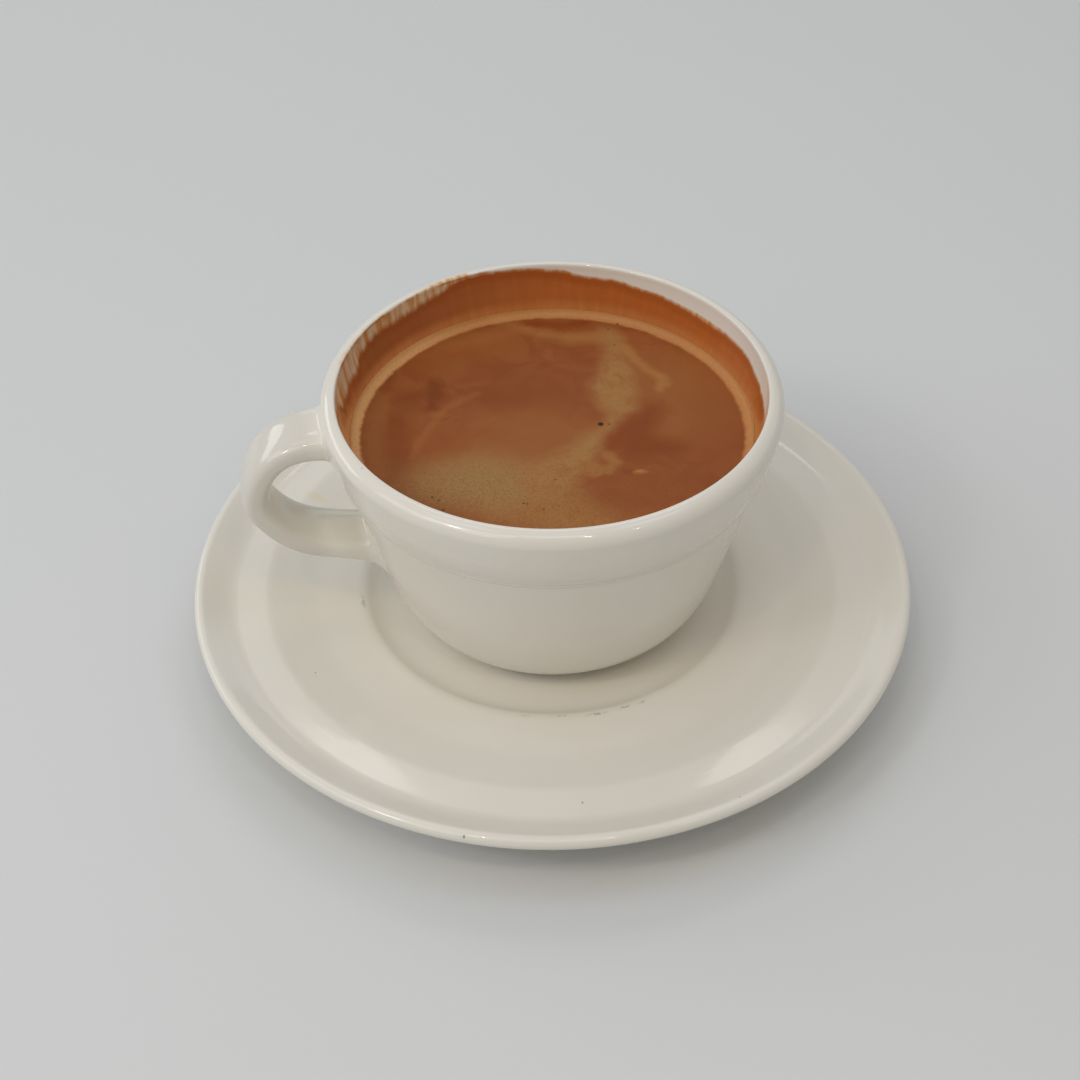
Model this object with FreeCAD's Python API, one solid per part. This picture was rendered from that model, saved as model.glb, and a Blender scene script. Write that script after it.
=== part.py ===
import FreeCAD, Part
import math
import os

# Americano in a stoneware cup on its saucer.
# Own frame: millimetres, +Z up, origin at the centre of the saucer's foot, on
# the plane that the saucer stands on. The handle points to -X, turned a little
# towards -Y.

os.makedirs("parts", exist_ok=True)
V = FreeCAD.Vector

# ---------------------------------------------------------------- dimensions
# saucer: a flat well for the cup, a low ridge round it, a shoulder that climbs
# to a soft crease, a wide verge and a lip that sweeps up to a round edge
lip_ring_r = 80.22         # radius of the centre of the lip's round edge
lip_bead_r = 1.5           # radius of that edge
lip_bead_dz = -0.10        # its centre, from the lip height
lip_height = 16.0          # height of the lip's centre above the table
well_r = 33.0              # flat floor of the well
well_drop = 6.0            # well floor below the lip's centre
ridge_r = 43.4             # edge of the ridge round the well
ridge_drop = 3.60          # ridge below the lip's centre
shoulder_r = 65.6          # where the shoulder turns into the verge
shoulder_drop = 1.70
verge_r = 72.0             # where the verge starts to sweep up to the lip
verge_drop = 2.15
saucer_wall = 4.6          # thickness under the well
saucer_foot_r = 45.5       # outer radius of the foot ring
saucer_foot_w = 3.4        # width of the foot ring
saucer_foot_h = 2.6        # depth of the recess inside the foot ring

# cup: round-bottomed bowl with a thick band under the lip
cup_shift_x = 0.58         # the cup stands this far off the saucer's centre
cup_top = 52.07            # lip top above the saucer lip's centre
cup_out_r = 49.06          # largest radius, just under the lip
cup_shoulder_r = 3.0       # outer rounding of the lip
cup_inner_round = 1.35     # inner rounding of the lip
cup_mouth_r = 45.55        # inner radius just under the lip
band_low_r = 46.44         # outer radius at the lower edge of the band
band_low_z = 37.67         # lower edge of the band above the saucer lip's centre
band_bulge = 0.75          # convexity of the band
band_step = 0.80           # how far the band stands out from the bowl
bead_gap = 1.15            # distance between the two fine lines under the band
bowl_low = (29.84, -4.69)  # lowest outer point of the bowl
bowl_c1 = (39.64, 2.44)    # control points of the bowl's outer curve
bowl_c2 = (37.37, 8.91)
cup_foot_r = 27.6          # outer radius of the cup's foot ring
cup_foot_in = 24.2         # inner radius of the cup's foot ring
cup_foot_rec = 1.6         # recess inside the foot ring
inner_floor = 0.2          # inner floor above the saucer lip's centre
liquid_level = 39.95       # coffee level above the saucer lip's centre
meniscus_h = 1.35          # climb of the coffee at the wall
meniscus_w = 1.75          # width of that climb

# handle: one closed strap, upper root on the band, lower root on the bowl
handle_turn = 9.15         # degrees towards -Y from the -X direction
handle_half_w = 6.78       # half width across the strap
handle_half_t = 2.95       # half thickness of the strap
handle_line = [(43.0, 44.7), (56.54, 48.8), (66.66, 35.6), (63.52, 27.55),
               (55.4, 17.74), (41.54, 16.82), (36.0, 13.2)]  # (radius, height)
handle_square = 2.9        # squareness of its section: 2 is an ellipse
handle_flare = 1.32        # widening at both roots
handle_sections = 23

# ------------------------------------------------------------------- helpers


def spline(points, start=None, end=None):
    """B-spline through (r, z) points, in the XZ plane."""
    c = Part.BSplineCurve()
    pts = [V(r, 0, z) for r, z in points]
    if start is None:
        c.interpolate(pts)
    else:
        c.interpolate(Points=pts, InitialTangent=V(start[0], 0, start[1]),
                      FinalTangent=V(end[0], 0, end[1]))
    return c.toShape()


def bezier(poles):
    c = Part.BezierCurve()
    c.setPoles([V(r, 0, z) for r, z in poles])
    return c.toShape()


def line(a, b):
    return Part.makeLine(V(a[0], 0, a[1]), V(b[0], 0, b[1]))


def arc(a, m, b):
    return Part.Arc(V(a[0], 0, a[1]), V(m[0], 0, m[1]), V(b[0], 0, b[1])).toShape()


def on_circle(cx, cz, rad, deg):
    t = math.radians(deg)
    return (cx + rad * math.cos(t), cz + rad * math.sin(t))


def turned(edges):
    """Solid of revolution about Z from a closed chain of edges."""
    wire = Part.Wire(Part.__sortEdges__(edges))
    face = Part.Face(wire)
    solid = face.revolve(V(0, 0, 0), V(0, 0, 1), 360)
    if solid.Volume < 0:
        solid.reverse()
    return solid


H = lip_height

# -------------------------------------------------------------------- saucer
well_z = H - well_drop
lip_z = H + lip_bead_dz
lip_in = on_circle(lip_ring_r, lip_z, lip_bead_r, 118)
lip_low = on_circle(lip_ring_r, lip_z, lip_bead_r, -62)
lip_mid = on_circle(lip_ring_r, lip_z, lip_bead_r, 28)
foot_top = well_z - saucer_wall
foot_in_r = saucer_foot_r - saucer_foot_w
foot_edge = 0.65                                  # quarter-round edges of the foot ring
foot_mid = foot_edge * (1 - math.sqrt(0.5))       # the quarter round's halfway point

top = [
    line((0, well_z), (well_r, well_z)),
    # the well's side climbs in a hollow curve, then rounds over the ridge's edge
    bezier([(well_r, well_z), (well_r + 5.4, well_z), (ridge_r - 3.0, H - ridge_drop - 1.62),
            (ridge_r - 1.1, H - ridge_drop - 0.62)]),
    bezier([(ridge_r - 1.1, H - ridge_drop - 0.62), (ridge_r - 0.34, H - ridge_drop - 0.22),
            (ridge_r + 0.5, H - ridge_drop - 0.01), (ridge_r + 1.8, H - ridge_drop)]),
    # shoulder, steeper towards the crease
    bezier([(ridge_r + 1.8, H - ridge_drop), (ridge_r + 8.4, H - ridge_drop + 0.03),
            (shoulder_r - 7.6, H - shoulder_drop - 1.22), (shoulder_r, H - shoulder_drop)]),
    # verge, falling away a little, then the sweep up to the lip's edge
    bezier([(shoulder_r, H - shoulder_drop), (shoulder_r + 2.0, H - shoulder_drop - 0.10),
            (verge_r - 2.4, H - verge_drop + 0.16), (verge_r, H - verge_drop)]),
    bezier([(verge_r, H - verge_drop), (verge_r + 1.8, H - verge_drop - 0.12),
            (lip_in[0] - 2.42, lip_in[1] - 1.28), lip_in]),
    arc(lip_in, lip_mid, lip_low),
]
under = [
    bezier([lip_low, (lip_low[0] - 2.2, lip_low[1] - 1.0),
            (verge_r - 3.4, H - verge_drop - 4.1), (shoulder_r - 4.2, H - shoulder_drop - 5.5)]),
    bezier([(shoulder_r - 4.2, H - shoulder_drop - 5.5), (shoulder_r - 10.2, H - shoulder_drop - 6.4),
            (saucer_foot_r + 3.6, foot_top + 0.2), (saucer_foot_r + 0.9, foot_top - 1.6)]),
    line((saucer_foot_r + 0.9, foot_top - 1.6), (saucer_foot_r, foot_edge)),
    arc((saucer_foot_r, foot_edge), (saucer_foot_r - foot_mid, foot_mid), (saucer_foot_r - foot_edge, 0)),
    line((saucer_foot_r - foot_edge, 0), (foot_in_r + foot_edge, 0)),
    arc((foot_in_r + foot_edge, 0), (foot_in_r + foot_mid, foot_mid), (foot_in_r, foot_edge)),
    line((foot_in_r, foot_edge), (foot_in_r - 0.5, saucer_foot_h)),
    line((foot_in_r - 0.5, saucer_foot_h), (0, saucer_foot_h)),
    line((0, saucer_foot_h), (0, well_z)),
]
saucer = turned(top + under)

# ----------------------------------------------------------------------- cup
# everything below is measured from the saucer lip's centre, then lifted by H
zt = cup_top
out_c = (cup_out_r - cup_shoulder_r, zt - cup_shoulder_r)
in_c = (cup_mouth_r + cup_inner_round, zt - cup_inner_round)
sh_low = on_circle(out_c[0], out_c[1], cup_shoulder_r, -8)
sh_mid = on_circle(out_c[0], out_c[1], cup_shoulder_r, 41)
bowl_top = (band_low_r - band_step, band_low_z - bead_gap)
bl = (band_low_r, band_low_z)
foot_z = -well_drop

outer = [
    # foot ring and the recess inside it
    line((0, foot_z + cup_foot_rec), (cup_foot_in - 0.5, foot_z + cup_foot_rec)),
    line((cup_foot_in - 0.5, foot_z + cup_foot_rec), (cup_foot_in, foot_z + 0.5)),
    arc((cup_foot_in, foot_z + 0.5), (cup_foot_in + 0.2, foot_z + 0.12), (cup_foot_in + 0.6, foot_z)),
    line((cup_foot_in + 0.6, foot_z), (cup_foot_r - 0.6, foot_z)),
    arc((cup_foot_r - 0.6, foot_z), (cup_foot_r - 0.16, foot_z + 0.14), (cup_foot_r, foot_z + 0.45)),
    bezier([(cup_foot_r, foot_z + 0.45), (cup_foot_r + 0.3, foot_z + 0.85),
            (bowl_low[0] - 0.8, bowl_low[1] - 0.5), bowl_low]),
    # bowl
    bezier([bowl_low, bowl_c1, bowl_c2, (bowl_top[0] - 0.05, bowl_top[1] - 0.6)]),
    # two fine steps under the band
    bezier([(bowl_top[0] - 0.05, bowl_top[1] - 0.6), (bowl_top[0] + 0.05, bowl_top[1] - 0.2),
            (bowl_top[0] + 0.38, bowl_top[1] - 0.1), (bowl_top[0] + 0.40, bowl_top[1] + 0.18)]),
    line((bowl_top[0] + 0.40, bowl_top[1] + 0.18), (bl[0] - 0.30, bl[1] - 0.22)),
    bezier([(bl[0] - 0.30, bl[1] - 0.22), (bl[0] - 0.05, bl[1] - 0.20),
            (bl[0] - 0.06, bl[1] - 0.05), (bl[0] + 0.02, bl[1] + 0.25)]),
    # band, slightly convex, up to the round shoulder of the lip
    bezier([(bl[0] + 0.02, bl[1] + 0.25), (bl[0] + 1.15 + band_bulge, bl[1] + 3.6),
            (sh_low[0] - 0.35, sh_low[1] - 3.6), sh_low]),
    arc(sh_low, sh_mid, (out_c[0], zt)),
]
# the lip rolls over its top and runs on, without a crease, into the inner wall
lip_inner_end = on_circle(in_c[0], in_c[1], cup_inner_round, 176)
outer.append(bezier([(out_c[0], zt), (out_c[0] - 0.36, zt), (lip_inner_end[0] + 0.02, zt - 0.42), lip_inner_end]))
level = liquid_level
wall_at_top = (43.35, level + meniscus_h)      # upper end of the coffee on the wall
wall_pts = [lip_inner_end, (45.0, 47.4), (44.15, 44.4), wall_at_top]
low_pts = [wall_at_top, (42.75, 37.6), (41.3, 30.0), (39.3, 22.0), (36.9, 14.6),
           (33.2, 8.0), (27.4, 3.4), (19.0, 0.9), (9.0, inner_floor)]
outer.append(spline(wall_pts))
outer.append(spline(low_pts))
outer.append(line((9.0, inner_floor), (0, inner_floor)))
outer.append(line((0, inner_floor), (0, foot_z + cup_foot_rec)))
bowl = turned(outer)


# handle centre line: clamped uniform cubic B-spline
def handle_curve():
    poles = handle_line
    n, deg = len(poles), 3
    spans = n - deg
    knots = [i / float(spans) for i in range(spans + 1)]
    mults = [deg + 1] + [1] * (spans - 1) + [deg + 1]
    c = Part.BSplineCurve()
    c.buildFromPolesMultsKnots([V(r, 0, z) for r, z in poles], mults, knots, False, deg)
    return c


def strap_section(curve, u, half_w, half_t):
    """Closed section of the strap at parameter u, square to the centre line."""
    p = curve.value(u)
    t = curve.tangent(u)[0]
    n = V(-t.z, 0, t.x)
    pts = []
    e = 2.0 / handle_square
    count = 24
    for k in range(count):
        a = 2 * math.pi * k / count
        ca, sa = math.cos(a), math.sin(a)
        w = half_w * math.copysign(abs(ca) ** e, ca)
        h = half_t * math.copysign(abs(sa) ** e, sa)
        pts.append(p + V(0, 1, 0) * w + n * h)
    c = Part.BSplineCurve()
    c.interpolate(Points=pts, PeriodicFlag=True)
    return Part.Wire([c.toShape()])


hc = handle_curve()
sections = []
for i in range(handle_sections):
    u = i / (handle_sections - 1.0)
    # wider at the two roots, where the strap runs out into the cup
    root = max(0.0, 1.0 - u / 0.17) ** 2 + max(0.0, 1.0 - (1.0 - u) / 0.20) ** 2
    k = 1.0 + (handle_flare - 1.0) * root
    sections.append(strap_section(hc, u, handle_half_w * (1.0 + 0.10 * root), handle_half_t * k))
strap = Part.makeLoft(sections, True, False)
if strap.Volume < 0:
    strap.reverse()
# radius runs along +X here: turn it to -X and then towards -Y
strap.rotate(V(0, 0, 0), V(0, 0, 1), 180 + handle_turn)

# room inside the bowl, which the strap's roots stay out of
hollow_edges = [line((0, zt + 20), (0, inner_floor - 1.6)),
                line((0, inner_floor - 1.6), (9.0, inner_floor - 1.6)),
                spline([(9.0, inner_floor - 1.6), (20.0, -0.4), (28.5, 2.4), (34.4, 7.4),
                        (38.3, 14.2), (40.8, 22.0), (42.8, 30.0), (44.2, 37.6), (45.0, 42.0),
                        (46.5, zt - 1)]),
                line((46.5, zt - 1), (46.5, zt + 20)),
                line((46.5, zt + 20), (0, zt + 20))]
hollow = turned(hollow_edges)
strap = strap.cut(hollow)
if len(strap.Solids) > 1:
    strap = max(strap.Solids, key=lambda s: s.Volume)

cup = bowl.fuse(strap)
try:
    clean = cup.removeSplitter()
    if clean.isValid() and len(clean.Solids) == 1:
        cup = clean
except Exception:
    pass
if len(cup.Solids) == 1:
    cup = cup.Solids[0]

# -------------------------------------------------------------------- coffee
coffee = turned([
    line((0, inner_floor), (9.0, inner_floor)),
    spline(low_pts),
    bezier([wall_at_top, (wall_at_top[0] - 0.28, level + 0.42),
            (wall_at_top[0] - 0.75, level + 0.03), (wall_at_top[0] - meniscus_w, level)]),
    line((wall_at_top[0] - meniscus_w, level), (0, level)),
    line((0, level), (0, inner_floor)),
])

cup.translate(V(cup_shift_x, 0, H))
coffee.translate(V(cup_shift_x, 0, H))

for name, shape in (("saucer", saucer), ("cup", cup), ("coffee", coffee)):
    shape.exportStep("parts/%s.step" % name)
    bb = shape.BoundBox
    print("%s valid=%s solids=%d volume=%.1f cm3 box x %.2f..%.2f y %.2f..%.2f z %.2f..%.2f" % (
        name, shape.isValid(), len(shape.Solids), shape.Volume / 1000.0,
        bb.XMin, bb.XMax, bb.YMin, bb.YMax, bb.ZMin, bb.ZMax))
print("overlap saucer/cup %.3f cup/coffee %.3f mm3" % (
    saucer.common(cup).Volume, cup.common(coffee).Volume))
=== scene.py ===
import bpy
import bmesh
import math
import numpy as np
from mathutils import Matrix, Vector


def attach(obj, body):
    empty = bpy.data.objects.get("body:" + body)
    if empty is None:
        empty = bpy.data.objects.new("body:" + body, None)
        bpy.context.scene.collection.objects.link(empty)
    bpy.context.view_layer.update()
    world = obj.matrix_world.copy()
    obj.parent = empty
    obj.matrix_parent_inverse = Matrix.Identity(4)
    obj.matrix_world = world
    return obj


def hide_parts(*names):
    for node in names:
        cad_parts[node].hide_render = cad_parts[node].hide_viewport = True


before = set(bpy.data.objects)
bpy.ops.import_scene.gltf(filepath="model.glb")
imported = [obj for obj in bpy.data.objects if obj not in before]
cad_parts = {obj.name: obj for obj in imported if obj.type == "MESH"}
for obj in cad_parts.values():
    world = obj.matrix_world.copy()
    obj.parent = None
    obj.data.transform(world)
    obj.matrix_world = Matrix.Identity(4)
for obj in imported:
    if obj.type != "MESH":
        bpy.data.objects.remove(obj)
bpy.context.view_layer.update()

MM = 0.001

# ---------------------------------------------------------------- dimensions
# the same sizes as the CAD pieces, in millimetres
H = 16.0                    # saucer lip's centre above the table
LIP_R, BEAD, LIP_Z = 80.22, 1.5, H - 0.10
WELL_R, WELL_Z = 33.0, H - 6.0
RIDGE_R, RIDGE_Z = 43.4, H - 3.60
SHOULDER_R, SHOULDER_Z = 65.6, H - 1.70
VERGE_R, VERGE_Z = 72.0, H - 2.15
SFOOT_R, SFOOT_W, SFOOT_H = 45.5, 3.4, 2.6
CUP_X = 0.58
LEVEL = H + 39.95
FLOOR_Z = H + 0.2
MEN_H, MEN_W = 1.35, 1.75
AXIS = (CUP_X, 0.0)

# ------------------------------------------------------------------- curves


def bez(poles, n=24):
    p = np.array(poles, float)
    t = np.linspace(0, 1, n + 1)[:, None]
    k = len(p) - 1
    out = 0
    for i in range(k + 1):
        out = out + math.comb(k, i) * (1 - t) ** (k - i) * t ** i * p[i]
    return out


def seg(a, b, n=1):
    t = np.linspace(0, 1, n + 1)[:, None]
    return np.array(a, float) * (1 - t) + np.array(b, float) * t


def on_circle(cx, cz, rad, deg):
    t = math.radians(deg)
    return (cx + rad * math.cos(t), cz + rad * math.sin(t))


def arc(cx, cz, rad, d0, d1, n=16):
    return np.array([on_circle(cx, cz, rad, d) for d in np.linspace(d0, d1, n + 1)])


def smooth_through(points, n=40):
    """Natural cubic spline through points, by chord length."""
    p = np.array(points, float)
    s = np.r_[0, np.cumsum(np.linalg.norm(np.diff(p, axis=0), axis=1))]
    m = len(p)
    h = np.diff(s)
    a = np.zeros((m, m))
    b = np.zeros((m, 2))
    a[0, 0] = a[-1, -1] = 1
    for i in range(1, m - 1):
        a[i, i - 1], a[i, i], a[i, i + 1] = h[i - 1], 2 * (h[i - 1] + h[i]), h[i]
        b[i] = 6 * ((p[i + 1] - p[i]) / h[i] - (p[i] - p[i - 1]) / h[i - 1])
    c = np.linalg.solve(a, b)
    t = np.linspace(0, s[-1], n + 1)
    k = np.clip(np.searchsorted(s, t, side="right") - 1, 0, m - 2)
    u, w = (t - s[k])[:, None], (s[k + 1] - t)[:, None]
    hk = h[k][:, None]
    return (c[k] * w ** 3 + c[k + 1] * u ** 3) / (6 * hk) + (p[k] / hk - c[k] * hk / 6) * w \
        + (p[k + 1] / hk - c[k + 1] * hk / 6) * u


def chain(*parts):
    out = [parts[0]]
    for q in parts[1:]:
        out.append(q[1:] if np.linalg.norm(q[0] - out[-1][-1]) < 1e-6 else q)
    return np.concatenate(out)


# -------------------------------------------------------------- mesh helpers


def new_mesh(name, verts, faces, smooth=True):
    me = bpy.data.meshes.new(name)
    me.from_pydata([tuple(v) for v in np.asarray(verts, float) * MM], [], faces)
    me.validate(clean_customdata=False)
    me.update()
    ob = bpy.data.objects.new(name, me)
    bpy.context.scene.collection.objects.link(ob)
    if smooth:
        me.polygons.foreach_set("use_smooth", [True] * len(me.polygons))
    return ob


def lathe_data(profile, segs, cx=0.0, wobble=None):
    """Closed surface of revolution; a profile point with r < 1e-6 is a pole."""
    verts, rings = [], []
    th = np.arange(segs) * 2 * math.pi / segs
    for r, z in profile:
        if r < 1e-6:
            rings.append([len(verts)])
            verts.append((cx, 0.0, z))
        else:
            rings.append(list(range(len(verts), len(verts) + segs)))
            rr = r if wobble is None else r + wobble(th, z)
            x, y = cx + rr * np.cos(th), rr * np.sin(th)
            verts.extend(zip(x, y, np.full(segs, z)))
    faces = []
    for a, b in zip(rings[:-1], rings[1:]):
        for j in range(segs):
            k = (j + 1) % segs
            if len(a) == 1 and len(b) > 1:
                faces.append((a[0], b[k], b[j]))
            elif len(b) == 1 and len(a) > 1:
                faces.append((a[j], a[k], b[0]))
            elif len(a) > 1:
                faces.append((a[j], a[k], b[k], b[j]))
    return verts, faces


def outward(ob):
    bm = bmesh.new()
    bm.from_mesh(ob.data)
    bmesh.ops.recalc_face_normals(bm, faces=bm.faces)
    bm.to_mesh(ob.data)
    bm.free()
    ob.data.update()


# ------------------------------------------------------------------- saucer
lip_in = on_circle(LIP_R, LIP_Z, BEAD, 118)
lip_low = on_circle(LIP_R, LIP_Z, BEAD, -62)
foot_top = WELL_Z - 4.6
foot_in = SFOOT_R - SFOOT_W
saucer_top = chain(
    np.array([(0.0, WELL_Z), (8.0, WELL_Z), (16.0, WELL_Z), (24.0, WELL_Z), (30.0, WELL_Z), (WELL_R, WELL_Z)]),
    bez([(WELL_R, WELL_Z), (WELL_R + 5.4, WELL_Z), (RIDGE_R - 3.0, RIDGE_Z - 1.62), (RIDGE_R - 1.1, RIDGE_Z - 0.62)],
        26),
    bez([(RIDGE_R - 1.1, RIDGE_Z - 0.62), (RIDGE_R - 0.34, RIDGE_Z - 0.22), (RIDGE_R + 0.5, RIDGE_Z - 0.01),
         (RIDGE_R + 1.8, RIDGE_Z)], 14),
    bez([(RIDGE_R + 1.8, RIDGE_Z), (RIDGE_R + 8.4, RIDGE_Z + 0.03), (SHOULDER_R - 7.6, SHOULDER_Z - 1.22),
         (SHOULDER_R, SHOULDER_Z)], 26),
    bez([(SHOULDER_R, SHOULDER_Z), (SHOULDER_R + 2.0, SHOULDER_Z - 0.10), (VERGE_R - 2.4, VERGE_Z + 0.16),
         (VERGE_R, VERGE_Z)], 18),
    bez([(VERGE_R, VERGE_Z), (VERGE_R + 1.8, VERGE_Z - 0.12), (lip_in[0] - 2.42, lip_in[1] - 1.28), lip_in], 24),
    arc(LIP_R, LIP_Z, BEAD, 118, -62, 26))
saucer_under = chain(
    bez([lip_low, (lip_low[0] - 2.2, lip_low[1] - 1.0), (VERGE_R - 3.4, VERGE_Z - 4.1),
         (SHOULDER_R - 4.2, SHOULDER_Z - 5.5)], 20),
    bez([(SHOULDER_R - 4.2, SHOULDER_Z - 5.5), (SHOULDER_R - 10.2, SHOULDER_Z - 6.4), (SFOOT_R + 3.6, foot_top + 0.2),
         (SFOOT_R + 0.9, foot_top - 1.6)], 16),
    seg((SFOOT_R + 0.9, foot_top - 1.6), (SFOOT_R, 0.65), 3),
    arc(SFOOT_R - 0.65, 0.65, 0.65, 0, -90, 6),
    seg((SFOOT_R - 0.65, 0.0), (foot_in + 0.65, 0.0), 2),
    arc(foot_in + 0.65, 0.65, 0.65, -90, -180, 6),
    seg((foot_in, 0.65), (foot_in - 0.5, SFOOT_H), 3),
    np.array([(foot_in - 0.5, SFOOT_H), (30.0, SFOOT_H), (15.0, SFOOT_H), (0.0, SFOOT_H)]))
v, f = lathe_data(chain(saucer_top, saucer_under), 320)
saucer = new_mesh("saucer_glazed", v, f)
outward(saucer)

# ---------------------------------------------------------------------- cup
OUT_R, SH_R, IN_RND, MOUTH = 49.06, 3.0, 1.35, 45.55
TOP = H + 52.07
BAND_R, BAND_Z, STEP, GAP = 46.44, H + 37.67, 0.80, 1.15
out_c = (OUT_R - SH_R, TOP - SH_R)
in_c = (MOUTH + IN_RND, TOP - IN_RND)
sh_low = on_circle(out_c[0], out_c[1], SH_R, -8)
bowl_top = (BAND_R - STEP, BAND_Z - GAP)
bowl_low = (29.84, H - 4.69)
foot_z = H - 6.0
F_R, F_IN, F_REC = 27.6, 24.2, 1.6
lip_inner_end = on_circle(in_c[0], in_c[1], IN_RND, 176)
wall_top = (43.35, LEVEL + MEN_H)
wall_pts = [lip_inner_end, (45.0, H + 47.4), (44.15, H + 44.4), wall_top]
low_pts = [wall_top, (42.75, H + 37.6), (41.3, H + 30.0), (39.3, H + 22.0), (36.9, H + 14.6),
           (33.2, H + 8.0), (27.4, H + 3.4), (19.0, H + 0.9), (9.0, FLOOR_Z)]
cup_outer = chain(
    np.array([(0.0, foot_z + F_REC), (12.0, foot_z + F_REC), (F_IN - 0.5, foot_z + F_REC)]),
    seg((F_IN - 0.5, foot_z + F_REC), (F_IN, foot_z + 0.5), 3),
    bez([(F_IN, foot_z + 0.5), (F_IN + 0.1, foot_z + 0.05), (F_IN + 0.6, foot_z)], 5),
    seg((F_IN + 0.6, foot_z), (F_R - 0.6, foot_z), 2),
    bez([(F_R - 0.6, foot_z), (F_R - 0.05, foot_z + 0.02), (F_R, foot_z + 0.45)], 6),
    bez([(F_R, foot_z + 0.45), (F_R + 0.3, foot_z + 0.85), (bowl_low[0] - 0.8, bowl_low[1] - 0.5), bowl_low], 8),
    bez([bowl_low, (39.64, H + 2.44), (37.37, H + 8.91), (bowl_top[0] - 0.05, bowl_top[1] - 0.6)], 60),
    bez([(bowl_top[0] - 0.05, bowl_top[1] - 0.6), (bowl_top[0] + 0.05, bowl_top[1] - 0.2),
         (bowl_top[0] + 0.38, bowl_top[1] - 0.1), (bowl_top[0] + 0.40, bowl_top[1] + 0.18)], 8),
    seg((bowl_top[0] + 0.40, bowl_top[1] + 0.18), (BAND_R - 0.30, BAND_Z - 0.22), 3),
    bez([(BAND_R - 0.30, BAND_Z - 0.22), (BAND_R - 0.05, BAND_Z - 0.20), (BAND_R - 0.06, BAND_Z - 0.05),
         (BAND_R + 0.02, BAND_Z + 0.25)], 8),
    bez([(BAND_R + 0.02, BAND_Z + 0.25), (BAND_R + 1.15 + 0.75, BAND_Z + 3.6), (sh_low[0] - 0.35, sh_low[1] - 3.6),
         sh_low], 24),
    arc(out_c[0], out_c[1], SH_R, -8, 90, 22))
OUTER_PROFILE = cup_outer.copy()
cup_inner = chain(
    bez([(out_c[0], TOP), (out_c[0] - 0.36, TOP), (lip_inner_end[0] + 0.02, TOP - 0.42), lip_inner_end], 14),
    smooth_through(wall_pts, 18),
    smooth_through(low_pts, 50),
    np.array([(9.0, FLOOR_Z), (0.0, FLOOR_Z)]))
cup_profile = chain(cup_outer, cup_inner)


def cup_wobble(th, z):
    # thrown ware is never quite round; fades out towards the foot
    k = np.clip((z - H) / 45.0, 0, 1)
    return 0.05 * k * np.cos(2 * th + 0.7) + 0.025 * k * np.cos(3 * th + 2.1)


cup_verts, cup_faces = lathe_data(cup_profile, 320, cx=CUP_X, wobble=cup_wobble)

# handle: B-spline centre line in its own upright plane, (radius, height)
TURN = math.radians(9.15)
H_DIR = np.array([-math.cos(TURN), -math.sin(TURN), 0.0])
H_TAN = np.array([math.sin(TURN), -math.cos(TURN), 0.0])
UP = np.array([0.0, 0.0, 1.0])
H_LINE = np.array([(43.0, 44.7), (56.54, 48.8), (66.66, 35.6), (63.52, 27.55), (55.4, 17.74), (41.54, 16.82),
                   (36.0, 13.2)]) + [0.0, H]


def bspline(ctrl, t):
    deg, n = 3, len(ctrl)
    knots = np.r_[[0] * deg, np.linspace(0, 1, n - deg + 1), [1] * deg]
    t = np.clip(t, 0, 1 - 1e-9)
    out = np.zeros((len(t), ctrl.shape[1]))
    for q, x in enumerate(t):
        k = np.searchsorted(knots, x, side="right") - 1
        d = [ctrl[j + k - deg].copy() for j in range(deg + 1)]
        for r in range(1, deg + 1):
            for j in range(deg, r - 1, -1):
                a = (x - knots[j + k - deg]) / (knots[j + 1 + k - r] - knots[j + k - deg])
                d[j] = (1 - a) * d[j - 1] + a * d[j]
        out[q] = d[deg]
    return out


NS = 96          # points round the strap
NU = 150         # rings along it
HW, HT, SQ = 6.78, 2.95, 2.9
FILLET_TOP, FILLET_LOW = 1.1, 3.0
BOWL_SIDE = OUTER_PROFILE[(OUTER_PROFILE[:, 1] > H - 4.8)]


def side_distance(p):
    """Signed distance of points from the bowl's outside, and the outward normal there."""
    r, z = np.hypot(p[..., 0], p[..., 1]), p[..., 2]
    a, d = BOWL_SIDE[:-1], np.diff(BOWL_SIDE, axis=0)
    q = np.stack([r, z], -1)[..., None, :] - a
    t = np.clip((q * d).sum(-1) / (d * d).sum(-1), 0, 1)
    off = q - t[..., None] * d
    dist = np.linalg.norm(off, axis=-1)
    k = dist.argmin(-1)
    dd = d[k]
    n = np.stack([dd[..., 1], -dd[..., 0]], -1)
    n /= np.linalg.norm(n, axis=-1, keepdims=True)
    o = np.take_along_axis(off, k[..., None, None], axis=-2)[..., 0, :]
    s = np.where((o * n).sum(-1) >= 0, 1.0, -1.0)
    best = np.take_along_axis(dist, k[..., None], axis=-1)[..., 0]
    m = np.where(best[..., None] > 1e-4, o / np.maximum(best, 1e-9)[..., None] * s[..., None], n)
    c, e = p[..., 0] / r, p[..., 1] / r
    return best * s, np.stack([m[..., 0] * c, m[..., 0] * e, m[..., 1]], -1)


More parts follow.
